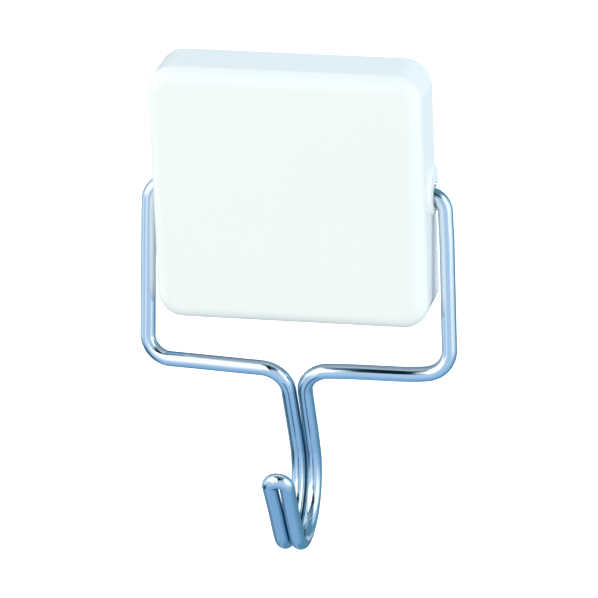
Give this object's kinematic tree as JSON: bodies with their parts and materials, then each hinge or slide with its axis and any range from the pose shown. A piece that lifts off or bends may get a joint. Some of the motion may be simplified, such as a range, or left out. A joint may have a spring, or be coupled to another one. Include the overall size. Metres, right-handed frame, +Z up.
{
  "type": "magnetic hook",
  "caption": "Square magnetic wall hook: soft-cornered white plastic cap over magnets on a steel plate, with a bent chromed wire hook that swings on pivots in its sides.",
  "frame": {"origin": "centre of the rear face of the anti-slip sheet, which lies on the wall", "axes": "+Z up as the hook hangs, +Y into the wall, +X to the right as seen from the front; the part is mirror-symmetric across the YZ plane"},
  "size_m": [0.0588, 0.0288, 0.0901],
  "materials": {
    "white_plastic": "satin moulded ABS, soft gloss",
    "frame_plastic": "fine matte moulded ABS",
    "zinc_steel": "zinc-plated sheet steel",
    "ferrite": "ground sintered ferrite, dull dark grey",
    "rubber_sheet": "thin matte rubber sheet",
    "screw_steel": "zinc-plated screw",
    "chromed_wire": "bright chrome plate on drawn steel wire"
  },
  "bodies": {
    "housing": {"front_cap": "white_plastic", "rear_frame": "frame_plastic", "steel_plate": "zinc_steel", "magnet_left": "ferrite", "magnet_right": "ferrite", "anti_slip_sheet": "rubber_sheet", "frame_screw_1": "screw_steel", "frame_screw_2": "screw_steel", "frame_screw_3": "screw_steel", "frame_screw_4": "screw_steel"},
    "hook": {"wire_hook": "chromed_wire"}
  },
  "joints": [
    {"name": "hook_swing", "type": "hinge", "parent": "housing", "child": "hook", "pos_m": [0, -0.0032, -0.0009], "axis": [-1, 0, 0], "range_deg": [-4, 154]}
  ]
}
